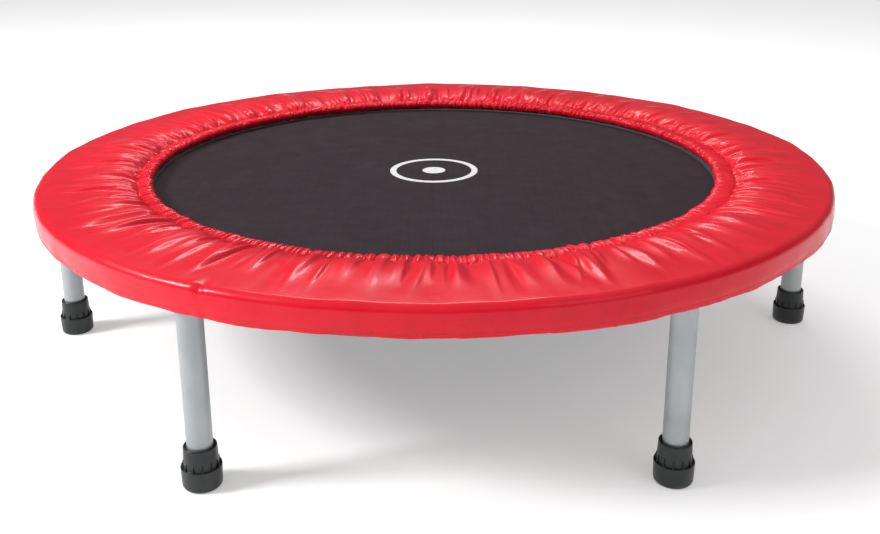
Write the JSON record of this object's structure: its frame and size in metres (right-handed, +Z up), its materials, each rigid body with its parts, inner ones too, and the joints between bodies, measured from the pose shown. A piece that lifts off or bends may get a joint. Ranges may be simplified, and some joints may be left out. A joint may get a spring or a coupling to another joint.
{
  "type": "mini trampoline",
  "caption": "Round low rebounder: steel ring on screw-in tube legs with rubber feet, woven mat hung in radial springs, padded vinyl cover.",
  "frame": {"origin": "on the floor under the middle of the mat", "axes": "+Z up, +X to the right, front towards -Y"},
  "size_m": [0.9604, 0.96, 0.215],
  "materials": {
    "cover_vinyl": "glossy coated vinyl fabric, soft sheen",
    "foam": "open cell foam, matt",
    "elastic": "woven elastic cord",
    "mat_fabric": "tight woven polypropylene, faint sheen",
    "hem_webbing": "woven webbing with stitching",
    "ring_steel": "satin silver powder coat",
    "leg_paint": "satin silver powder coat",
    "zinc_steel": "bright zinc plate",
    "foot_rubber": "moulded black rubber, satin",
    "saddle_plastic": "moulded grey plastic"
  },
  "bodies": {
    "frame": {"frame_hoop_left": "ring_steel", "frame_hoop_right": "ring_steel", "leg_bushes": "zinc_steel", "cover_panel": "cover_vinyl", "cover_skirt": "cover_vinyl", "cover_band": "cover_vinyl", "foam_ring": "foam", "inner_elastic": "elastic", "outer_elastic": "elastic", "springs": "zinc_steel"},
    "mat": {"jumping_mat": "mat_fabric", "mat_hem": "hem_webbing", "ring_tabs": "hem_webbing", "v_rings": "zinc_steel"},
    "seat_right": {"saddle_right": "saddle_plastic"},
    "leg_right": {"leg_tube_right": "leg_paint", "leg_stud_right": "zinc_steel", "foot_right": "foot_rubber"},
    "seat_rear_right": {"saddle_rear_right": "saddle_plastic"},
    "leg_rear_right": {"leg_tube_rear_right": "leg_paint", "leg_stud_rear_right": "zinc_steel", "foot_rear_right": "foot_rubber"},
    "seat_rear_left": {"saddle_rear_left": "saddle_plastic"},
    "leg_rear_left": {"leg_tube_rear_left": "leg_paint", "leg_stud_rear_left": "zinc_steel", "foot_rear_left": "foot_rubber"},
    "seat_left": {"saddle_left": "saddle_plastic"},
    "leg_left": {"leg_tube_left": "leg_paint", "leg_stud_left": "zinc_steel", "foot_left": "foot_rubber"},
    "seat_front_left": {"saddle_front_left": "saddle_plastic"},
    "leg_front_left": {"leg_tube_front_left": "leg_paint", "leg_stud_front_left": "zinc_steel", "foot_front_left": "foot_rubber"},
    "seat_front_right": {"saddle_front_right": "saddle_plastic"},
    "leg_front_right": {"leg_tube_front_right": "leg_paint", "leg_stud_front_right": "zinc_steel", "foot_front_right": "foot_rubber"}
  },
  "joints": [
    {"name": "mat_bounce", "type": "slide", "parent": "frame", "child": "mat", "axis": [0, 0, -1], "range_m": [0, 0.08], "stiffness_N_per_m": 12000, "deforming": ["springs"]},
    {"name": "leg_right_drop", "type": "slide", "parent": "frame", "child": "seat_right", "axis": [0, 0, -1], "range_m": [0, 0.0175]},
    {"name": "leg_right_unscrew", "type": "hinge", "parent": "seat_right", "child": "leg_right", "pos_m": [0.46087, -0.03223, 0.1], "axis": [0, 0, -1], "range_deg": [0, 5060]},
    {"name": "leg_rear_right_drop", "type": "slide", "parent": "frame", "child": "seat_rear_right", "axis": [0, 0, -1], "range_m": [0, 0.0175]},
    {"name": "leg_rear_right_unscrew", "type": "hinge", "parent": "seat_rear_right", "child": "leg_rear_right", "pos_m": [0.231, 0.4001, 0.1], "axis": [0, 0, -1], "range_deg": [0, 5060]},
    {"name": "leg_rear_left_drop", "type": "slide", "parent": "frame", "child": "seat_rear_left", "axis": [0, 0, -1], "range_m": [0, 0.0175]},
    {"name": "leg_rear_left_unscrew", "type": "hinge", "parent": "seat_rear_left", "child": "leg_rear_left", "pos_m": [-0.231, 0.4001, 0.1], "axis": [0, 0, -1], "range_deg": [0, 5060]},
    {"name": "leg_left_drop", "type": "slide", "parent": "frame", "child": "seat_left", "axis": [0, 0, -1], "range_m": [0, 0.0175]},
    {"name": "leg_left_unscrew", "type": "hinge", "parent": "seat_left", "child": "leg_left", "pos_m": [-0.45903, -0.0523, 0.1], "axis": [0, 0, -1], "range_deg": [0, 5060]},
    {"name": "leg_front_left_drop", "type": "slide", "parent": "frame", "child": "seat_front_left", "axis": [0, 0, -1], "range_m": [0, 0.0175]},
    {"name": "leg_front_left_unscrew", "type": "hinge", "parent": "seat_front_left", "child": "leg_front_left", "pos_m": [-0.22257, -0.40485, 0.1], "axis": [0, 0, -1], "range_deg": [0, 5060]},
    {"name": "leg_front_right_drop", "type": "slide", "parent": "frame", "child": "seat_front_right", "axis": [0, 0, -1], "range_m": [0, 0.0175]},
    {"name": "leg_front_right_unscrew", "type": "hinge", "parent": "seat_front_right", "child": "leg_front_right", "pos_m": [0.2275, -0.4021, 0.1], "axis": [0, 0, -1], "range_deg": [0, 5060]}
  ],
  "couplings": [
    {"joint": "leg_right_unscrew", "follows": "leg_right_drop", "rad_per_m": 5026.5},
    {"joint": "leg_rear_right_unscrew", "follows": "leg_rear_right_drop", "rad_per_m": 5026.5},
    {"joint": "leg_rear_left_unscrew", "follows": "leg_rear_left_drop", "rad_per_m": 5026.5},
    {"joint": "leg_left_unscrew", "follows": "leg_left_drop", "rad_per_m": 5026.5},
    {"joint": "leg_front_left_unscrew", "follows": "leg_front_left_drop", "rad_per_m": 5026.5},
    {"joint": "leg_front_right_unscrew", "follows": "leg_front_right_drop", "rad_per_m": 5026.5}
  ]
}
